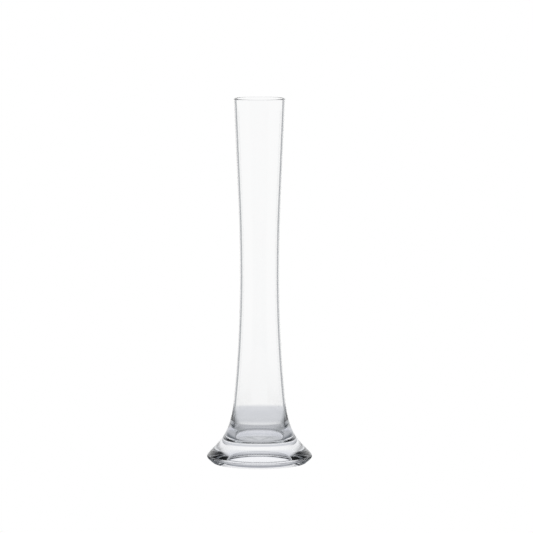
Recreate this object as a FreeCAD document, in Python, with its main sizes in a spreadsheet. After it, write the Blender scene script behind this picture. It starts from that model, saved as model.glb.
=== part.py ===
"""A bud vase in clear glass: a blown, waisted body joined hot to a heavy, solid foot.

Millimetres. +Z is up, and the origin is the middle of the circle that the vase stands on.
Both pieces are turned about the Z axis, so each outline is drawn in the XZ plane: X is the radius
and Y is the height. Slopes are measured from the vertical, in degrees.
"""

import FreeCAD
import Part
import Sketcher

import os
from math import acos, asin, atan2, cos, hypot, pi, radians, sin, tan

SIZES = {
    "vase_height": 230.0,
    "rim_diameter": 32.1,
    "wall": 1.4,
    "lip_radius": 0.6,
    "taper_length": 64.0,  # the straight part of the side, down from the rim
    "waist_diameter": 24.66,
    "waist_height": 119.0,
    "sweep_radius": 820.8,  # the long curve from the waist down to the flare
    "upper_flare_radius": 67.9,
    "flare_break_slope": 18.16,  # where the upper flare hands over to the lower one
    "lower_flare_radius": 32.07,
    "shoulder_slope": 44.17,  # the straight cone that the flare runs out into
    "collar_length": 0.6,  # how much of that cone belongs to the body
    "shoulder_radius": 52.45,  # the shoulder swells on this radius from the cone to the edge
    "edge_slope": 39.0,  # where the shoulder hands over to the rounded edge
    "foot_diameter": 66.07,
    "edge_height": 4.05,
    "edge_radius": 1.85,
    "base_diameter": 58.7,
    "standing_edge_radius": 0.5,
    "standing_ring": 2.0,  # the width of the flat ring that the vase stands on
    "hollow_depth": 2.7,  # at the middle of the dished underside
    "belly_height": 30.0,  # where the bore stops following the outside
    "belly_radius": 237.0,
    "floor_thickness": 2.25,
    "floor_fillet_radius": 1.9,
}
START, END, CENTRE = 1, 2, 3  # Sketcher's numbers for the points of a line or an arc
ORIGIN = (-1, START)
AXIS = -2
GROUND = -1
SKETCH_NORMAL = FreeCAD.Vector(0, 0, 1)
FULL_TURN = 360.0
CLEAR = 1.0  # how far below the foot the cutter for the hollow starts
SMALL = 1e-6


def size(name):
    """A driving dimension as the sheet now holds it."""
    return float(sheet.get(name))


# ---------------------------------------------------------------- the document and its sheet

doc = FreeCAD.newDocument("bud_vase")
sheet = doc.addObject("Spreadsheet::Sheet", "sizes")
for row, (name, value) in enumerate(SIZES.items(), start=1):
    sheet.set(f"A{row}", name)
    sheet.set(f"B{row}", str(value))
    sheet.setAlias(f"B{row}", name)
doc.recompute()


# ---------------------------------------------------------------- drawing an outline

class Outline:
    """A sketch on the XZ plane of its own body, with short ways to draw and to constrain."""

    def __init__(self, body, name):
        self.sketch = body.newObject("Sketcher::SketchObject", name)
        plane = next(item for item in body.Origin.OriginFeatures if item.Role == "XZ_Plane")
        self.sketch.AttachmentSupport = [(plane, "")]
        self.sketch.MapMode = "FlatFace"

    def line(self, first, last):
        """A straight line between two points."""
        ends = FreeCAD.Vector(*first, 0), FreeCAD.Vector(*last, 0)
        return self.sketch.addGeometry(Part.LineSegment(*ends), False)

    def arc(self, centre, radius, first, last):
        """An arc, anticlockwise between two angles in radians."""
        circle = Part.Circle(FreeCAD.Vector(*centre, 0), SKETCH_NORMAL, radius)
        return self.sketch.addGeometry(Part.ArcOfCircle(circle, first, last), False)

    def guide_circle(self, centre, radius):
        """A circle that only guides the other lines."""
        circle = Part.Circle(FreeCAD.Vector(*centre, 0), SKETCH_NORMAL, radius)
        return self.sketch.addGeometry(circle, True)

    def tie(self, kind, *points):
        """A relation without a size, such as Coincident, Tangent, Horizontal or Parallel."""
        self.sketch.addConstraint(Sketcher.Constraint(kind, *points))

    def drive(self, label, kind, *where, by):
        """A length, or an angle in degrees, bound to the sheet by an expression."""
        now = float(self.sketch.evalExpression(by))
        if kind == "Angle":
            now = radians(now)
        index = self.sketch.addConstraint(Sketcher.Constraint(kind, *where, now))
        self.sketch.renameConstraint(index, label)
        self.sketch.setExpression(f"Constraints.{label}", by)

    def measure(self, label, kind, *where):
        """A length that the outline gives, for another outline to read."""
        index = self.sketch.addConstraint(Sketcher.Constraint(kind, *where, 1.0))
        self.sketch.setDriving(index, False)
        self.sketch.renameConstraint(index, label)


def step(start, length, slope):
    """The point that lies length further down and out at a slope."""
    return start[0] + length * sin(slope), start[1] - length * cos(slope)


def along(centre, radius, angle):
    """The point on a circle at an angle in radians."""
    return centre[0] + radius * cos(angle), centre[1] + radius * sin(angle)


def turned(body, sketch):
    """The outline turned about the Z axis into a solid."""
    solid = body.newObject("PartDesign::Revolution", f"{body.Name}_turned")
    solid.Profile = sketch
    solid.ReferenceAxis = (sketch, ["V_Axis"])
    solid.Angle = FULL_TURN
    doc.recompute()
    return solid


def rounded(body, base, name, chosen, radius):
    """The body with a fillet on each edge that the test picks."""
    edges = [f"Edge{i}" for i, edge in enumerate(base.Shape.Edges, start=1) if chosen(edge)]
    fillet = body.newObject("PartDesign::Fillet", name)
    fillet.Base = (base, edges)
    fillet.setExpression("Radius", radius)
    doc.recompute()
    return fillet


def ring_at(height):
    """A test for the circular edges at a height."""
    def chosen(edge):
        box = edge.BoundBox
        return abs(box.ZMin - height) < SMALL and abs(box.ZMax - height) < SMALL
    return chosen


# ---------------------------------------------------------------- where the outline's curves meet

def swell_centre():
    """The centre of the shoulder's swell, which touches the rounded edge from inside."""
    edge_centre = size("foot_diameter") / 2 - size("edge_radius"), size("edge_height")
    return along(edge_centre, size("edge_radius") - size("shoulder_radius"), radians(size("edge_slope")))


def flare_start_slope():
    """The slope at which the sweep hands over to the flare, so that the flare meets the foot.

    The flare turns through fixed slopes into the cone of the shoulder, which runs out into the
    shoulder's swell. Only the slope where it starts is free, and it shifts the cone sideways.
    """
    sweep, upper, lower = size("sweep_radius"), size("upper_flare_radius"), size("lower_flare_radius")
    turn, shoulder = radians(size("flare_break_slope")), radians(size("shoulder_slope"))

    def across(x, y):
        return x * cos(shoulder) + y * sin(shoulder)

    wanted = across(*swell_centre()) + size("shoulder_radius")
    waist = across(size("waist_diameter") / 2 + sweep, size("waist_height"))
    flare = (lower - upper) * cos(shoulder - turn) - lower
    return shoulder - acos((waist + flare - wanted) / (sweep - upper))


def junctions():
    """Every slope, centre and point that the body's outline is first drawn with."""
    half_waist = size("waist_diameter") / 2
    rise = size("vase_height") - size("waist_height")
    spread = (size("rim_diameter") - size("waist_diameter")) / 2
    half_taper = spread / (size("taper_length") + rise)  # the tangent of half the taper's slope
    neck_run = (rise * (1 + half_taper**2) - size("taper_length") * (1 - half_taper**2)) / 2
    at = {"taper": 2 * acos(1 / hypot(1, half_taper)), "neck_radius": neck_run / half_taper}
    at["start"] = flare_start_slope()
    at["turn"] = radians(size("flare_break_slope"))
    at["shoulder"] = radians(size("shoulder_slope"))
    at["neck"] = half_waist + at["neck_radius"], size("waist_height")
    at["sweep"] = half_waist + size("sweep_radius"), size("waist_height")
    shift = size("sweep_radius") - size("upper_flare_radius")
    at["upper"] = along(at["sweep"], shift, pi + at["start"])
    shift = size("upper_flare_radius") - size("lower_flare_radius")
    at["lower"] = along(at["upper"], shift, pi + at["turn"])
    at["cone_top"] = along(at["lower"], size("lower_flare_radius"), pi + at["shoulder"])
    at["joint"] = step(at["cone_top"], size("collar_length"), at["shoulder"])
    return at


# ---------------------------------------------------------------- the blown body

def draw_outside(outline, at):
    """The outside of the body, from the joint up to the rim. Returns the number of each curve."""
    taper_foot = along(at["neck"], at["neck_radius"], pi - at["taper"])
    rim = size("rim_diameter") / 2, size("vase_height")
    turn, shoulder = pi + at["turn"], pi + at["shoulder"]
    curve = {
        "collar": outline.line(at["joint"], at["cone_top"]),
        "lower": outline.arc(at["lower"], size("lower_flare_radius"), turn, shoulder),
        "upper": outline.arc(at["upper"], size("upper_flare_radius"), pi + at["start"], turn),
        "sweep": outline.arc(at["sweep"], size("sweep_radius"), pi, pi + at["start"]),
        "neck": outline.arc(at["neck"], at["neck_radius"], pi - at["taper"], pi),
        "taper": outline.line(taper_foot, rim),
        "swell": outline.guide_circle(swell_centre(), size("shoulder_radius")),
    }
    outline.tie("Tangent", curve["collar"], END, curve["lower"], END)
    outline.tie("Tangent", curve["lower"], START, curve["upper"], END)
    outline.tie("Tangent", curve["upper"], START, curve["sweep"], END)
    outline.tie("Tangent", curve["sweep"], START, curve["neck"], END)
    outline.tie("Tangent", curve["neck"], START, curve["taper"], START)
    outline.tie("Tangent", curve["collar"], curve["swell"])
    return curve


def size_outside(outline, curve):
    """The sizes of the outside, all from the sheet."""
    sweep, neck, taper = curve["sweep"], curve["neck"], curve["taper"]
    swell, collar, upper = curve["swell"], curve["collar"], curve["upper"]
    outline.tie("Horizontal", sweep, START, sweep, CENTRE)
    outline.drive("waist_height", "DistanceY", *ORIGIN, sweep, START, by="sizes.waist_height")
    outline.drive("waist_radius", "DistanceX", *ORIGIN, sweep, START, by="sizes.waist_diameter / 2")
    outline.drive("rim_height", "DistanceY", *ORIGIN, taper, END, by="sizes.vase_height")
    outline.drive("rim_radius", "DistanceX", *ORIGIN, taper, END, by="sizes.rim_diameter / 2")
    outline.drive("taper_length", "Distance", taper, by="sizes.taper_length")
    outline.drive("sweep_radius", "Radius", sweep, by="sizes.sweep_radius")
    outline.drive("upper_radius", "Radius", upper, by="sizes.upper_flare_radius")
    outline.drive("lower_radius", "Radius", curve["lower"], by="sizes.lower_flare_radius")
    rise = "sizes.upper_flare_radius * sin(sizes.flare_break_slope * 1deg)"
    outline.drive("break_rise", "DistanceY", upper, END, upper, CENTRE, by=rise)
    outline.drive("collar_slope", "Angle", collar, by="sizes.shoulder_slope + 90")
    outline.drive("collar_length", "Distance", collar, by="sizes.collar_length")
    back = "(sizes.shoulder_radius - sizes.edge_radius)"
    reach = f"sizes.foot_diameter / 2 - sizes.edge_radius - {back} * cos(sizes.edge_slope * 1deg)"
    drop = f"{back} * sin(sizes.edge_slope * 1deg) - sizes.edge_height"
    outline.drive("swell_reach", "DistanceX", swell, CENTRE, *ORIGIN, by=f"-({reach})")
    outline.drive("swell_drop", "DistanceY", swell, CENTRE, *ORIGIN, by=drop)
    outline.drive("swell_radius", "Radius", swell, by="sizes.shoulder_radius")


def draw_bore(outline, at, outside):
    """The bore, from the rim down to its floor: one wall in from the outside as far as the belly."""
    wall, height = size("wall"), size("vase_height")
    inner_neck, inner_sweep = at["neck_radius"] + wall, size("sweep_radius") + wall
    parting = asin((size("waist_height") - size("belly_height")) / inner_sweep)
    belly_radius, fillet = size("belly_radius"), size("floor_fillet_radius")
    belly = along(at["sweep"], inner_sweep + belly_radius, pi + parting)
    floor_height = at["joint"][1] + size("floor_thickness")
    bend_height = floor_height + fillet
    drop = -asin((belly[1] - bend_height) / (belly_radius - fillet))
    bend = along(belly, belly_radius - fillet, drop)
    taper_foot = along(at["neck"], inner_neck, pi - at["taper"])
    run = height - taper_foot[1]
    rim = taper_foot[0] + run * tan(at["taper"]), height
    curve = {
        "taper": outline.line(taper_foot, rim),
        "neck": outline.arc(at["neck"], inner_neck, pi - at["taper"], pi),
        "sweep": outline.arc(at["sweep"], inner_sweep, pi, pi + parting),
        "belly": outline.arc(belly, belly_radius, drop, parting),
        "bend": outline.arc(bend, fillet, -pi / 2, drop),
        "floor": outline.line((0, floor_height), (bend[0], floor_height)),
    }
    outline.tie("Tangent", curve["taper"], START, curve["neck"], START)
    outline.tie("Tangent", curve["neck"], END, curve["sweep"], START)
    outline.tie("Tangent", curve["sweep"], END, curve["belly"], END)
    outline.tie("Tangent", curve["belly"], START, curve["bend"], END)
    outline.tie("Tangent", curve["bend"], START, curve["floor"], END)
    outline.tie("Horizontal", curve["floor"])
    outline.tie("Parallel", curve["taper"], outside["taper"])
    outline.tie("Coincident", curve["neck"], CENTRE, outside["neck"], CENTRE)
    outline.tie("Coincident", curve["sweep"], CENTRE, outside["sweep"], CENTRE)
    return curve


def close_body(outline, at, outside, bore):
    """The rim, the joint's face and the middle line that close the outline."""
    rim_inside = outline.sketch.getPoint(bore["taper"], END)
    rim_outside = outline.sketch.getPoint(outside["taper"], END)
    floor_middle = outline.sketch.getPoint(bore["floor"], START)
    rim = outline.line((rim_outside.x, rim_outside.y), (rim_inside.x, rim_inside.y))
    middle = outline.line((0, floor_middle.y), (0, at["joint"][1]))
    face = outline.line((0, at["joint"][1]), at["joint"])
    outline.tie("Coincident", rim, START, outside["taper"], END)
    outline.tie("Coincident", rim, END, bore["taper"], END)
    outline.tie("Coincident", bore["floor"], START, middle, START)
    outline.tie("Coincident", middle, END, face, START)
    outline.tie("Coincident", face, END, outside["collar"], START)
    outline.tie("PointOnObject", middle, START, AXIS)
    outline.tie("PointOnObject", middle, END, AXIS)
    outline.tie("Horizontal", rim)
    outline.tie("Horizontal", face)
    inner_waist = bore["sweep"], START
    outline.drive("wall", "DistanceX", *inner_waist, outside["sweep"], START, by="sizes.wall")
    outline.drive("belly_height", "DistanceY", *ORIGIN, bore["belly"], END, by="sizes.belly_height")
    outline.drive("belly_radius", "Radius", bore["belly"], by="sizes.belly_radius")
    outline.drive("fillet_radius", "Radius", bore["bend"], by="sizes.floor_fillet_radius")
    outline.drive("floor_thickness", "DistanceY", middle, END, middle, START, by="sizes.floor_thickness")
    outline.measure("joint_height", "DistanceY", *ORIGIN, outside["collar"], START)


def make_blown_body():
    """The waisted tube with its closed floor, and a rim rounded by the flame."""
    body = doc.addObject("PartDesign::Body", "blown_body")
    body.Label = "blown_body"
    outline = Outline(body, "body_outline")
    at = junctions()
    outside = draw_outside(outline, at)
    size_outside(outline, outside)
    bore = draw_bore(outline, at, outside)
    close_body(outline, at, outside, bore)
    solid = turned(body, outline.sketch)
    lip_radius = "min(sizes.lip_radius; 0.45 * sizes.wall)"
    rounded(body, solid, "lip", ring_at(size("vase_height")), lip_radius)
    body.Placement = FreeCAD.Placement()
    return body


# ---------------------------------------------------------------- the solid foot

def draw_foot(outline, at):
    """Half of the foot's section: base, bevel, rounded edge, shoulder, joint and middle line."""
    edge_radius, base_radius = size("edge_radius"), size("base_diameter") / 2
    centre = size("foot_diameter") / 2 - edge_radius, size("edge_height")
    reach = hypot(centre[0] - base_radius, centre[1])
    bevel_slope = atan2(centre[1], centre[0] - base_radius) - asin(edge_radius / reach)
    touch = along(centre, edge_radius, bevel_slope - pi / 2)
    swell_top = along(swell_centre(), size("shoulder_radius"), at["shoulder"])
    joint_middle = 0, at["joint"][1]
    base = outline.line((0, 0), (base_radius, 0))
    bevel = outline.line((base_radius, 0), touch)
    edge_slope = radians(size("edge_slope"))
    edge = outline.arc(centre, edge_radius, bevel_slope - pi / 2, edge_slope)
    swell = outline.arc(swell_centre(), size("shoulder_radius"), edge_slope, at["shoulder"])
    shoulder = outline.line(swell_top, at["joint"])
    face = outline.line(at["joint"], joint_middle)
    middle = outline.line(joint_middle, (0, 0))
    outline.tie("Coincident", base, START, *ORIGIN)
    outline.tie("Coincident", base, END, bevel, START)
    outline.tie("Tangent", bevel, END, edge, START)
    outline.tie("Tangent", edge, END, swell, START)
    outline.tie("Tangent", swell, END, shoulder, START)
    outline.tie("Coincident", shoulder, END, face, START)
    outline.tie("Coincident", face, END, middle, START)
    outline.tie("Coincident", middle, END, base, START)
    outline.tie("Horizontal", base)
    outline.tie("Horizontal", face)
    outline.tie("Vertical", middle)
    outline.drive("base_radius", "Distance", base, by="sizes.base_diameter / 2")
    outline.drive("edge_radius", "Radius", edge, by="sizes.edge_radius")
    span = "sizes.foot_diameter / 2 - sizes.edge_radius"
    outline.drive("edge_reach", "DistanceX", *ORIGIN, edge, CENTRE, by=span)
    outline.drive("edge_height", "DistanceY", *ORIGIN, edge, CENTRE, by="sizes.edge_height")
    outline.drive("shoulder_slope", "Angle", shoulder, by="sizes.shoulder_slope + 90")
    outline.drive("swell_radius", "Radius", swell, by="sizes.shoulder_radius")
    inset = "(sizes.shoulder_radius - sizes.edge_radius) * cos(sizes.edge_slope * 1deg)"
    outline.drive("swell_inset", "DistanceX", swell, CENTRE, edge, CENTRE, by=inset)
    joint_height = "body_outline.Constraints.joint_height"
    outline.drive("joint_height", "DistanceY", *ORIGIN, face, START, by=joint_height)


def draw_hollow(outline):
    """Half of the section that is cut from under the foot: a shallow dome and the space below it."""
    depth = size("hollow_depth")
    mouth = size("base_diameter") / 2 - size("standing_ring")
    radius = (mouth**2 + depth**2) / (2 * depth)
    dome = outline.arc((0, depth - radius), radius, pi / 2 - asin(mouth / radius), pi / 2)
    side = outline.line((mouth, 0), (mouth, -CLEAR))
    below = outline.line((mouth, -CLEAR), (0, -CLEAR))
    middle = outline.line((0, -CLEAR), (0, depth))
    outline.tie("Coincident", dome, START, side, START)
    outline.tie("Coincident", side, END, below, START)
    outline.tie("Coincident", below, END, middle, START)
    outline.tie("Coincident", middle, END, dome, END)
    outline.tie("Vertical", side)
    outline.tie("Horizontal", below)
    outline.tie("PointOnObject", dome, CENTRE, AXIS)
    outline.tie("PointOnObject", dome, START, GROUND)
    outline.tie("PointOnObject", middle, START, AXIS)
    outline.tie("PointOnObject", middle, END, AXIS)
    reach = "sizes.base_diameter / 2 - sizes.standing_ring"
    outline.drive("mouth_radius", "DistanceX", *ORIGIN, dome, START, by=reach)
    outline.drive("hollow_depth", "DistanceY", *ORIGIN, dome, END, by="sizes.hollow_depth")
    outline.drive("clearance", "DistanceY", middle, START, *ORIGIN, by=str(CLEAR))


def cut_hollow(body, solid):
    """The shallow dome under the foot, which leaves a ring to stand on."""
    outline = Outline(body, "hollow_outline")
    draw_hollow(outline)
    before = solid.Shape.Volume
    hollow = body.newObject("PartDesign::Groove", "hollow")
    hollow.Profile = outline.sketch
    hollow.ReferenceAxis = (outline.sketch, ["V_Axis"])
    hollow.Angle = FULL_TURN
    doc.recompute()
    if hollow.Shape.Volume >= before:
        raise RuntimeError("the hollow has cut nothing from the foot")
    return hollow


def make_solid_foot():
    """The heavy foot: a disc with a sloping shoulder that the body's flare runs into."""
    body = doc.addObject("PartDesign::Body", "solid_foot")
    body.Label = "solid_foot"
    outline = Outline(body, "foot_outline")
    draw_foot(outline, junctions())
    solid = turned(body, outline.sketch)
    hollowed = cut_hollow(body, solid)
    rounded(body, hollowed, "standing_edges", ring_at(0.0), "sizes.standing_edge_radius")
    body.Placement = FreeCAD.Placement()
    return body


# ---------------------------------------------------------------- checks and files

def check(pieces):
    """Stops with a message if anything in the document failed or any piece isn't one solid."""
    for item in doc.Objects:
        if "Invalid" in item.State or "Error" in item.State:
            raise RuntimeError(f"{item.Name} is {item.State}")
    for piece in pieces:
        shape = piece.Shape
        if shape.isNull() or not shape.isValid() or len(shape.Solids) != 1:
            raise RuntimeError(f"{piece.Label} has no single valid solid")


pieces = [make_blown_body(), make_solid_foot()]
doc.recompute()
check(pieces)
os.makedirs("parts", exist_ok=True)
for piece in pieces:
    piece.Shape.exportStep(f"parts/{piece.Label}.step")
    box = piece.Shape.optimalBoundingBox()
    print(f"{piece.Label}: {piece.Shape.Volume:.1f} mm3, X {box.XMin:.3f} to {box.XMax:.3f},"
          f" Z {box.ZMin:.3f} to {box.ZMax:.3f}")
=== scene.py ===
"""A bud vase in clear glass: a blown, waisted body joined hot to a heavy, solid foot.

Sections are drawn in millimetres in the XZ plane, X as the radius and Z as the height, and are
then spun about the Z axis. Meshes and everything else in Blender are in metres.
"""

from math import acos, asin, atan2, cos, hypot, pi, radians, sin, sqrt, tan

import bpy
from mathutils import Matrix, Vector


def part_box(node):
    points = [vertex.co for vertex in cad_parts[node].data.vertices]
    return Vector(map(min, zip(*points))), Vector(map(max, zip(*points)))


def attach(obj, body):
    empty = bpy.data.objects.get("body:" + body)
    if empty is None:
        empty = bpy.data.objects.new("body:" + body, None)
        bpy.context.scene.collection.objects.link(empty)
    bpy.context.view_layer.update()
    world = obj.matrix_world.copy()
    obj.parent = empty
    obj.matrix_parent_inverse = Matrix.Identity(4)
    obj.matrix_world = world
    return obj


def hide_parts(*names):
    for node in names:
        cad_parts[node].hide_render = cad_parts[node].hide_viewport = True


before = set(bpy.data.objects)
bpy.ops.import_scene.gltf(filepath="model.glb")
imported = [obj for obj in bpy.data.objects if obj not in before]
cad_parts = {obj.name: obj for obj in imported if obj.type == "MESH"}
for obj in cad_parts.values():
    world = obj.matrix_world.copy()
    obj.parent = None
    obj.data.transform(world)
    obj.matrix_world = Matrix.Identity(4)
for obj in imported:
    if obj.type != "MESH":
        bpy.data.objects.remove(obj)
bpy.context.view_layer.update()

MM = 0.001
SEGMENTS = 192  # round the axis
FINE_TURN = radians(3.0)  # the most that one step of a curve turns
LONG_STEP = 2.5  # mm, the longest step of a curve
HOLD = 0.15  # mm, the short steps at the ends of a straight run, which keep its shading straight
WELD_LIMIT = 1e-7
SHARP = radians(35.0)
FLAT_LIMIT, LEVEL = 0.01, 0.99  # mm off a height, and the least upright part of a flat face's normal

WALL = 1.4
LIP_RADIUS = 0.6
TAPER_LENGTH = 64.0
WAIST_DIAMETER, WAIST_HEIGHT = 24.66, 119.0
RIM_DIAMETER = 32.1
SWEEP_RADIUS = 820.8
UPPER_FLARE_RADIUS, LOWER_FLARE_RADIUS = 67.9, 32.07
FLARE_BREAK = radians(18.16)
SHOULDER = radians(44.17)
SWELL_RADIUS, EDGE_SLOPE = 52.45, radians(39.0)
EDGE_HEIGHT, EDGE_RADIUS = 4.05, 1.85
BASE_RADIUS = 58.7 / 2
STANDING_RING, STANDING_EDGE_RADIUS = 2.0, 0.5
HOLLOW_DEPTH = 2.7
BELLY_HEIGHT, BELLY_RADIUS = 30.0, 237.0
FLOOR_THICKNESS, FLOOR_FILLET = 2.25, 1.9

body_low, body_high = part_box("blown_body")
foot_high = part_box("solid_foot")[1]
VASE_HEIGHT = body_high.z / MM
JOINT_HEIGHT = body_low.z / MM
JOINT_RADIUS = body_high.x / MM
FOOT_RADIUS = foot_high.x / MM


# ---------------------------------------------------------------- drawing a section

def along(centre, radius, angle):
    """The point of a circle at an angle from +X."""
    return centre[0] + radius * cos(angle), centre[1] + radius * sin(angle)


EDGE = FOOT_RADIUS - EDGE_RADIUS, EDGE_HEIGHT
SWELL = along(EDGE, EDGE_RADIUS - SWELL_RADIUS, EDGE_SLOPE)


class Section:
    """The closed half section of a turned piece, drawn from one vertex and spun round the axis."""

    def __init__(self, name, point):
        bpy.ops.object.select_all(action="DESELECT")
        place = (point[0] * MM, 0.0, point[1] * MM)
        bpy.ops.mesh.primitive_plane_add(size=MM, location=place)
        self.piece = bpy.context.object
        self.piece.name = self.piece.data.name = name
        bpy.ops.object.transform_apply(location=True, rotation=False, scale=False)
        bpy.ops.object.mode_set(mode="EDIT")
        bpy.ops.mesh.select_mode(type="VERT")
        bpy.ops.mesh.select_all(action="SELECT")
        bpy.ops.mesh.merge(type="CENTER")
        self.point = point

    def pull(self, point):
        """Extrudes the last vertex to a point."""
        shift = ((point[0] - self.point[0]) * MM, 0.0, (point[1] - self.point[1]) * MM)
        bpy.ops.mesh.extrude_region_move(TRANSFORM_OT_translate={"value": shift})
        self.point = point

    def line(self, point):
        """A straight run with a short step at each end."""
        first = self.point
        run = hypot(point[0] - first[0], point[1] - first[1])
        for part in (HOLD / run, 1 - HOLD / run, 1.0):
            self.pull((first[0] + part * (point[0] - first[0]), first[1] + part * (point[1] - first[1])))

    def arc(self, centre, turn):
        """A curve round a centre, anticlockwise where the turn is positive."""
        radius = hypot(self.point[0] - centre[0], self.point[1] - centre[1])
        start = atan2(self.point[1] - centre[1], self.point[0] - centre[0])
        steps = int(max(4, abs(turn) / FINE_TURN, abs(turn) * radius / LONG_STEP)) + 1
        middle = (centre[0] * MM, 0.0, centre[1] * MM)
        bpy.ops.mesh.spin(steps=steps, angle=turn, center=middle, axis=(0.0, 1.0, 0.0))
        self.point = along(centre, radius, start + turn)

    def corner(self, at, after, radius):
        """A straight run to a corner that is rounded off towards the point after it."""
        back = atan2(self.point[1] - at[1], self.point[0] - at[0])
        ahead = atan2(after[1] - at[1], after[0] - at[0])
        inside = (ahead - back + pi) % (2 * pi) - pi
        cut = radius / tan(abs(inside) / 2)
        centre = along(at, radius / sin(abs(inside) / 2), back + inside / 2)
        self.line(along(at, cut, back))
        turn = pi - abs(inside)
        self.arc(centre, turn if inside < 0 else -turn)

    def spun(self):
        """Closes the section into a solid of revolution."""
        bpy.ops.mesh.select_all(action="SELECT")
        middle = (0.0, 0.0, 0.0)
        bpy.ops.mesh.spin(steps=SEGMENTS, angle=2 * pi, center=middle, axis=(0.0, 0.0, 1.0))
        bpy.ops.mesh.select_all(action="SELECT")
        bpy.ops.mesh.remove_doubles(threshold=WELD_LIMIT)
        bpy.ops.mesh.normals_make_consistent(inside=False)
        bpy.ops.object.mode_set(mode="OBJECT")
        bpy.ops.object.shade_smooth_by_angle(angle=SHARP)
        return self.piece


# ---------------------------------------------------------------- the two pieces

def blown_body_piece():
    """The tube: up the outside from the weld, over the fire-polished lip and down the bore."""
    half_waist = WAIST_DIAMETER / 2
    rise = VASE_HEIGHT - WAIST_HEIGHT
    half_taper = (RIM_DIAMETER / 2 - half_waist) / (TAPER_LENGTH + rise)
    taper = 2 * acos(1 / hypot(1, half_taper))
    neck_run = (rise * (1 + half_taper**2) - TAPER_LENGTH * (1 - half_taper**2)) / 2
    neck_radius = neck_run / half_taper
    neck = half_waist + neck_radius, WAIST_HEIGHT
    sweep = half_waist + SWEEP_RADIUS, WAIST_HEIGHT
    start = flare_start(sweep)
    upper = along(sweep, SWEEP_RADIUS - UPPER_FLARE_RADIUS, pi + start)
    lower = along(upper, UPPER_FLARE_RADIUS - LOWER_FLARE_RADIUS, pi + FLARE_BREAK)
    cone_top = along(lower, LOWER_FLARE_RADIUS, pi + SHOULDER)
    rim = RIM_DIAMETER / 2, VASE_HEIGHT
    inner_neck, inner_sweep = neck_radius + WALL, SWEEP_RADIUS + WALL
    taper_foot = along(neck, inner_neck, pi - taper)
    inner_rim = taper_foot[0] + (VASE_HEIGHT - taper_foot[1]) * tan(taper), VASE_HEIGHT
    parting = asin((WAIST_HEIGHT - BELLY_HEIGHT) / inner_sweep)
    belly = along(sweep, inner_sweep + BELLY_RADIUS, pi + parting)
    floor_height = JOINT_HEIGHT + FLOOR_THICKNESS
    bend_height = floor_height + FLOOR_FILLET
    drop = -asin((belly[1] - bend_height) / (BELLY_RADIUS - FLOOR_FILLET))
    bend = along(belly, BELLY_RADIUS - FLOOR_FILLET, drop)

    section = Section("blown_body_glass", (0.0, JOINT_HEIGHT))
    section.line((JOINT_RADIUS, JOINT_HEIGHT))
    section.line(cone_top)
    section.arc(lower, FLARE_BREAK - SHOULDER)
    section.arc(upper, start - FLARE_BREAK)
    section.arc(sweep, -start)
    section.arc(neck, -taper)
    section.corner(rim, inner_rim, LIP_RADIUS)
    section.corner(inner_rim, taper_foot, LIP_RADIUS)
    section.line(taper_foot)
    section.arc(neck, taper)
    section.arc(sweep, parting)
    section.arc(belly, drop - parting)
    section.arc(bend, -pi / 2 - drop)
    section.line((0.0, floor_height))
    return section.spun()


def flare_start(sweep):
    """The slope where the flare starts, so that it runs out into the shoulder of the foot."""
    def across(x, z):
        return x * cos(SHOULDER) + z * sin(SHOULDER)
    wanted = across(*SWELL) + SWELL_RADIUS
    flare = (LOWER_FLARE_RADIUS - UPPER_FLARE_RADIUS) * cos(SHOULDER - FLARE_BREAK) - LOWER_FLARE_RADIUS
    return SHOULDER - acos((across(*sweep) + flare - wanted) / (SWEEP_RADIUS - UPPER_FLARE_RADIUS))


def solid_foot_piece():
    """The foot: out under the hollow, round the standing ring and the edge, and up to the weld."""
    reach = hypot(EDGE[0] - BASE_RADIUS, EDGE[1])
    bevel = atan2(EDGE[1], EDGE[0] - BASE_RADIUS) - asin(EDGE_RADIUS / reach)
    mouth = BASE_RADIUS - STANDING_RING
    dome_radius = (mouth**2 + HOLLOW_DEPTH**2) / (2 * HOLLOW_DEPTH)
    dome = 0.0, HOLLOW_DEPTH - dome_radius
    # the rounding between the dome and the ring touches both
    rounding = sqrt((dome_radius + STANDING_EDGE_RADIUS)**2 - (STANDING_EDGE_RADIUS - dome[1])**2)
    inner_edge = rounding, STANDING_EDGE_RADIUS
    tilt = atan2(inner_edge[0], inner_edge[1] - dome[1])
    base_edge = BASE_RADIUS, 0.0
    touch = along(EDGE, EDGE_RADIUS, bevel - pi / 2)

    section = Section("solid_foot_glass", (0.0, HOLLOW_DEPTH))
    section.arc(dome, -tilt)
    section.arc(inner_edge, tilt)
    section.corner(base_edge, touch, STANDING_EDGE_RADIUS)
    section.line(touch)
    section.arc(EDGE, EDGE_SLOPE + pi / 2 - bevel)
    section.arc(SWELL, SHOULDER - EDGE_SLOPE)
    section.line((JOINT_RADIUS, JOINT_HEIGHT))
    section.line((0.0, JOINT_HEIGHT))
    return section.spun()


# ---------------------------------------------------------------- materials

def linear(code):
    """A colour given as an sRGB hex value, as linear RGBA."""
    parts = [int(code[i:i + 2], 16) / 255 for i in (1, 3, 5)]
    return [c / 12.92 if c <= 0.04045 else ((c + 0.055) / 1.055) ** 2.4 for c in parts] + [1.0]


def add(tree, kind, settings=None, links=None):
    """A node with its settings, by property or input name, and its links, by input name."""
    node = tree.nodes.new(kind)
    for name, value in (settings or {}).items():
        if name == "stops":
            ramp = node.color_ramp
            while len(ramp.elements) < len(value):
                ramp.elements.new(1.0)
            for element, (place, colour) in zip(ramp.elements, value):
                element.position, element.color = place, colour
        elif isinstance(name, str) and hasattr(node, name):
            setattr(node, name, value)
        else:
            node.inputs[name].default_value = value
    for name, source in (links or {}).items():
        tree.links.new(source, node.inputs[name])
    return node


def empty_tree(data):
    """The node tree of a material or world, with nothing in it."""
    data.use_nodes = True
    data.node_tree.nodes.clear()
    return data.node_tree


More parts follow.
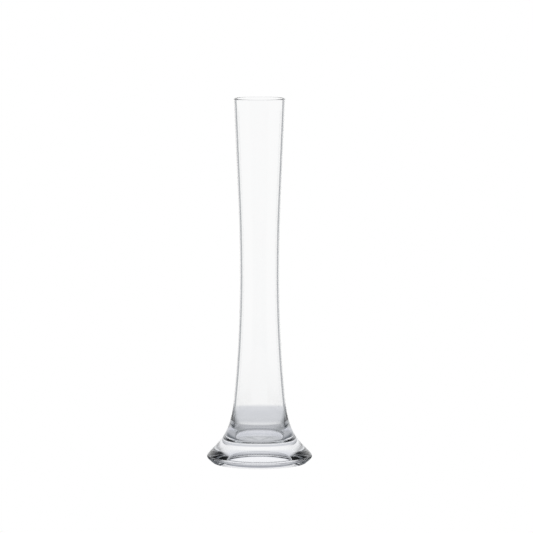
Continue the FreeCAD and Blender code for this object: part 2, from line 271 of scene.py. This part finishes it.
def glass(name, tint, waves, depth, stretch):
    """Clear soda-lime glass with gentle waves of a length and depth in mm, drawn out along Z."""
    material = bpy.data.materials.new(name)
    tree = empty_tree(material)
    place = add(tree, "ShaderNodeTexCoord")
    drawn = add(tree, "ShaderNodeMapping", {"Scale": (1.0, 1.0, stretch)}, {0: place.outputs["Object"]})
    wave = add(tree, "ShaderNodeTexNoise", {"Scale": 1 / (waves * MM), "Detail": 1.0},
               {0: drawn.outputs[0]})
    relief = add(tree, "ShaderNodeBump", {"Strength": 1.0, "Distance": depth * MM},
                 {"Height": wave.outputs[0]})
    surface = add(tree, "ShaderNodeBsdfPrincipled", {
        "Base Color": linear(tint), "Transmission Weight": 1.0, "IOR": 1.515, "Roughness": 0.0,
    }, {"Normal": relief.outputs[0]})
    add(tree, "ShaderNodeOutputMaterial", links={"Surface": surface.outputs[0]})
    return material


def ground_glass():
    """Glass ground flat on a wheel: the grit leaves a fine frost that scatters light."""
    material = bpy.data.materials.new("ground_standing_ring")
    tree = empty_tree(material)
    place = add(tree, "ShaderNodeTexCoord")
    grit = add(tree, "ShaderNodeTexNoise", {"Scale": 1 / (0.4 * MM), "Detail": 3.0},
               {0: place.outputs["Object"]})
    frost = add(tree, "ShaderNodeMapRange", {"To Min": 0.12, "To Max": 0.4}, {0: grit.outputs[0]})
    relief = add(tree, "ShaderNodeBump", {"Strength": 0.6, "Distance": 0.01 * MM},
                 {"Height": grit.outputs[0]})
    surface = add(tree, "ShaderNodeBsdfPrincipled", {
        "Base Color": linear("#F1F6F7"), "Transmission Weight": 1.0, "IOR": 1.515,
    }, {"Roughness": frost.outputs[0], "Normal": relief.outputs[0]})
    add(tree, "ShaderNodeOutputMaterial", links={"Surface": surface.outputs[0]})
    return material


def fused_glass():
    """The weld: the two gathers were joined hot, so light crosses it without bending."""
    material = bpy.data.materials.new("fused_weld")
    tree = empty_tree(material)
    surface = add(tree, "ShaderNodeBsdfTransparent")
    add(tree, "ShaderNodeOutputMaterial", links={"Surface": surface.outputs[0]})
    return material


def finish_faces(piece, materials, chosen):
    """Gives a piece its materials, and each face the one that the test names."""
    for material in materials:
        piece.data.materials.append(material)
    for face in piece.data.polygons:
        face.material_index = chosen(face)


# ---------------------------------------------------------------- the vase

weld = fused_glass()
blown = glass("blown_soda_glass", "#FFFFFF", 11.0, 0.006, 0.3)
pressed = glass("tooled_soda_glass", "#FCFCFE", 9.0, 0.004, 0.6)
ground = ground_glass()


def at_height(face, height):
    """Whether a face lies flat at a height in mm."""
    return abs(face.center.z - height * MM) < FLAT_LIMIT * MM and abs(face.normal.z) > LEVEL


body = blown_body_piece()
finish_faces(body, (blown, weld), lambda face: 1 if at_height(face, JOINT_HEIGHT) else 0)
foot = solid_foot_piece()


def foot_finish(face):
    """The weld on top, the ground ring below and tooled glass elsewhere."""
    if at_height(face, JOINT_HEIGHT):
        return 1
    return 2 if at_height(face, 0.0) else 0


finish_faces(foot, (pressed, weld, ground), foot_finish)

for piece, node in ((body, "blown_body"), (foot, "solid_foot")):
    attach(piece, "root")
    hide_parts(node)


# ---------------------------------------------------------------- the studio

FLOOR_SIZE = 8.0
FLOOR_GAP = 0.02 * MM  # keeps the floor clear of the face that stands on it
WHITE, BLACK = "#FFFFFF", "#000000"
HALF_TURN, QUARTER_TURN = 180.0, 90.0
# all in degrees aside of the back
CARD_START, CARD_END = 32.0, 54.0  # where the white behind gives way to the dark cards at the sides, and on the table to painted shade
GAP_START, GAP_END = 128.0, 142.0  # and where the light in front starts
FLAG_SHADE_START, FLAG_SHADE_FULL, FLAG_SHADE_LAST, FLAG_SHADE_END = 20.0, 30.8, 42.6, 48.0  # painted shade of grey flags on the table, seen only through the glass
TABLE_REACH = 500.0  # mm, how far out the table's light is graded
TABLE_EDGE, EDGE_BLUR = 0.205, 0.02  # how far behind the vase the table meets the white backdrop


def graded(span, *stops):
    """The stops of a colour ramp, from places along a span and their sRGB hex values."""
    return [(place / span, linear(code)) for place, code in stops]


def facing(tree, direction):
    """How far a direction has turned from the back to the sides, how far from there to the front,
    and how much of it lies in the painted shade of a flag.
    """
    parts = add(tree, "ShaderNodeSeparateXYZ", links={0: direction})
    across = add(tree, "ShaderNodeMath", {"operation": "ABSOLUTE"}, {0: parts.outputs[0]})
    turn = add(tree, "ShaderNodeMath", {"operation": "ARCTAN2"},
               {0: across.outputs[0], 1: parts.outputs[1]})
    shares = []
    for first, last in ((CARD_START, CARD_END), (GAP_START, GAP_END)):
        share = add(tree, "ShaderNodeMapRange", {
            "interpolation_type": "SMOOTHSTEP", "From Min": radians(first), "From Max": radians(last),
        }, {0: turn.outputs[0]})
        shares.append(share.outputs[0])
    round_back = add(tree, "ShaderNodeMapRange", {"From Max": pi}, {0: turn.outputs[0]})
    flag_shade_share = add(tree, "ShaderNodeValToRGB", {"stops": graded(
        HALF_TURN, (FLAG_SHADE_START, BLACK), (FLAG_SHADE_FULL, WHITE), (FLAG_SHADE_LAST, WHITE), (FLAG_SHADE_END, BLACK),
    )}, {0: round_back.outputs[0]})
    return shares + [flag_shade_share.outputs[0]]


def glow_for_camera(tree, colour, shine_kind, output_kind):
    """Pure white where the camera looks straight at the studio, and the given light elsewhere."""
    seen = add(tree, "ShaderNodeLightPath")
    shown = add(tree, "ShaderNodeMix", {"data_type": "RGBA", 7: linear(WHITE)},
                {0: seen.outputs["Is Camera Ray"], 6: colour})
    shine = add(tree, shine_kind, links={0: shown.outputs[2]})
    add(tree, output_kind, links={"Surface": shine.outputs[0]})


def studio_floor():
    """A glowing table that is white to the camera. The glass sees it graded with painted light and
    shade: a painted shadow round the foot, painted shade at the sides and in grey flag bands, and white
    again beyond the table's edge.
    """
    bpy.ops.object.select_all(action="DESELECT")
    bpy.ops.mesh.primitive_plane_add(size=FLOOR_SIZE, location=(0.0, 0.0, -FLOOR_GAP))
    floor = bpy.context.object
    floor.name = "studio_floor"
    bpy.ops.object.transform_apply(location=True, rotation=False, scale=False)
    material = bpy.data.materials.new("glowing_table_painted_shade")
    tree = empty_tree(material)
    place = add(tree, "ShaderNodeTexCoord")
    away = add(tree, "ShaderNodeVectorMath", {"operation": "LENGTH"}, {0: place.outputs["Object"]})
    reach = add(tree, "ShaderNodeMapRange", {"From Max": TABLE_REACH * MM},
                {0: away.outputs["Value"]})
    # painted shadow behind the vase: the table darkest just round the foot, lighter further out
    behind = add(tree, "ShaderNodeValToRGB", {"stops": graded(
        TABLE_REACH, (0, "#BEC0C4"), (24, "#BCBEC2"), (29, "#A0A2A8"), (36, "#C6C8CC"), (45, "#EEEFF1"),
        (60, "#D8DADE"), (130, "#D6D8DD"), (300, "#E6E7EA"),
    )}, {0: reach.outputs[0]})
    parts = add(tree, "ShaderNodeSeparateXYZ", links={0: place.outputs["Object"]})
    beyond = add(tree, "ShaderNodeMapRange", {
        "From Min": TABLE_EDGE - EDGE_BLUR, "From Max": TABLE_EDGE + EDGE_BLUR,
    }, {0: parts.outputs[1]})
    backdrop = add(tree, "ShaderNodeMix", {"data_type": "RGBA", 7: linear("#FCFCFC")},
                   {0: beyond.outputs[0], 6: behind.outputs[0]})
    # painted shade at the sides: the table dark just beyond the foot, lighter far out
    aside = add(tree, "ShaderNodeValToRGB", {"stops": graded(
        TABLE_REACH, (0, "#BEC0C4"), (24, "#B4B6BA"), (29, "#74787E"), (36, "#8A8E92"), (48, "#1C1E22"),
        (90, "#2C2E32"), (150, "#A4A8AC"), (260, "#E0E2E4"), (500, "#F2F3F4"),
    )}, {0: reach.outputs[0]})
    # painted shadow in front of the vase: the table darker just outside the foot, lighter further out
    front = add(tree, "ShaderNodeValToRGB", {"stops": graded(
        TABLE_REACH, (0, "#BEC0C4"), (24, "#B4B6BA"), (29, "#74787E"), (45, "#A0A4A8"), (200, "#C0C4C8"),
        (500, "#E4E6E8"),
    )}, {0: reach.outputs[0]})
    side = facing(tree, place.outputs["Object"])
    # the painted shade at the sides takes over from the table behind as the direction turns
    sides = add(tree, "ShaderNodeMix", {"data_type": "RGBA"},
                {0: side[0], 6: backdrop.outputs[2], 7: aside.outputs[0]})
    # painted shade: grey flag bands laid over the table's glow
    painted_flag_shade = add(tree, "ShaderNodeMix", {"data_type": "RGBA", 7: linear("#A4A7AA")},
                  {0: side[2], 6: sides.outputs[2]})
    whole = add(tree, "ShaderNodeMix", {"data_type": "RGBA"},
                {0: side[1], 6: painted_flag_shade.outputs[2], 7: front.outputs[0]})
    glow_for_camera(tree, whole.outputs[2], "ShaderNodeEmission", "ShaderNodeOutputMaterial")
    floor.data.materials.append(material)


def studio_surround():
    """A bright backdrop that fades upwards, dark cards that draw the edges, and light overhead."""
    world = bpy.data.worlds.new("studio_surround")
    bpy.context.scene.world = world
    tree = empty_tree(world)
    place = add(tree, "ShaderNodeTexCoord")
    parts = add(tree, "ShaderNodeSeparateXYZ", links={0: place.outputs["Generated"]})
    height = add(tree, "ShaderNodeMath", {"operation": "ARCSINE"}, {0: parts.outputs[2]})
    level = add(tree, "ShaderNodeMapRange", {"From Max": pi / 2}, {0: height.outputs[0]})
    behind = add(tree, "ShaderNodeValToRGB", {"stops": graded(
        QUARTER_TURN, (0, "#FBFBFC"), (15, "#F9FAFB"), (20, "#F0F1F4"), (28, "#DCDEE4"),
        (40, "#CACDD6"), (60, "#D8DAE0"), (75, "#ECEEF0"),
    )}, {0: level.outputs[0]})
    aside = add(tree, "ShaderNodeValToRGB", {"stops": graded(
        QUARTER_TURN, (0, "#F2F3F4"), (4, "#E4E6E8"), (10, "#282A2E"), (34, "#282A2E"),
        (50, "#B0B4B8"), (75, "#ECEEF0"),
    )}, {0: level.outputs[0]})
    side = facing(tree, place.outputs["Generated"])
    whole = add(tree, "ShaderNodeMix", {"data_type": "RGBA"},
                {0: side[0], 6: behind.outputs[0], 7: aside.outputs[0]})
    glow_for_camera(tree, whole.outputs[2], "ShaderNodeBackground", "ShaderNodeOutputWorld")


AIM_HEIGHT = 0.115
CAMERA_DISTANCE = 2.82
CAMERA_TILT = radians(6.29)
VIEW_WIDTH = 0.335  # how much the camera sees across at the vase
SENSOR = 36.0
SHIFT_ASIDE, SHIFT_UP = 0.0131, 0.0272  # the vase stands a little low and left in the picture
CLIP_END = 50.0


def camera():
    """A long lens, a little above the vase, so that its sides stay nearly parallel."""
    place = (0.0, -CAMERA_DISTANCE * cos(CAMERA_TILT), AIM_HEIGHT + CAMERA_DISTANCE * sin(CAMERA_TILT))
    bpy.ops.object.camera_add(location=place, rotation=(pi / 2 - CAMERA_TILT, 0.0, 0.0))
    view = bpy.context.object
    view.data.sensor_width = SENSOR
    view.data.lens = SENSOR * CAMERA_DISTANCE / VIEW_WIDTH
    view.data.shift_x, view.data.shift_y = SHIFT_ASIDE, SHIFT_UP
    view.data.clip_end = CLIP_END
    bpy.context.scene.camera = view


studio_floor()
studio_surround()
camera()
bpy.context.scene.view_settings.view_transform = "Standard"
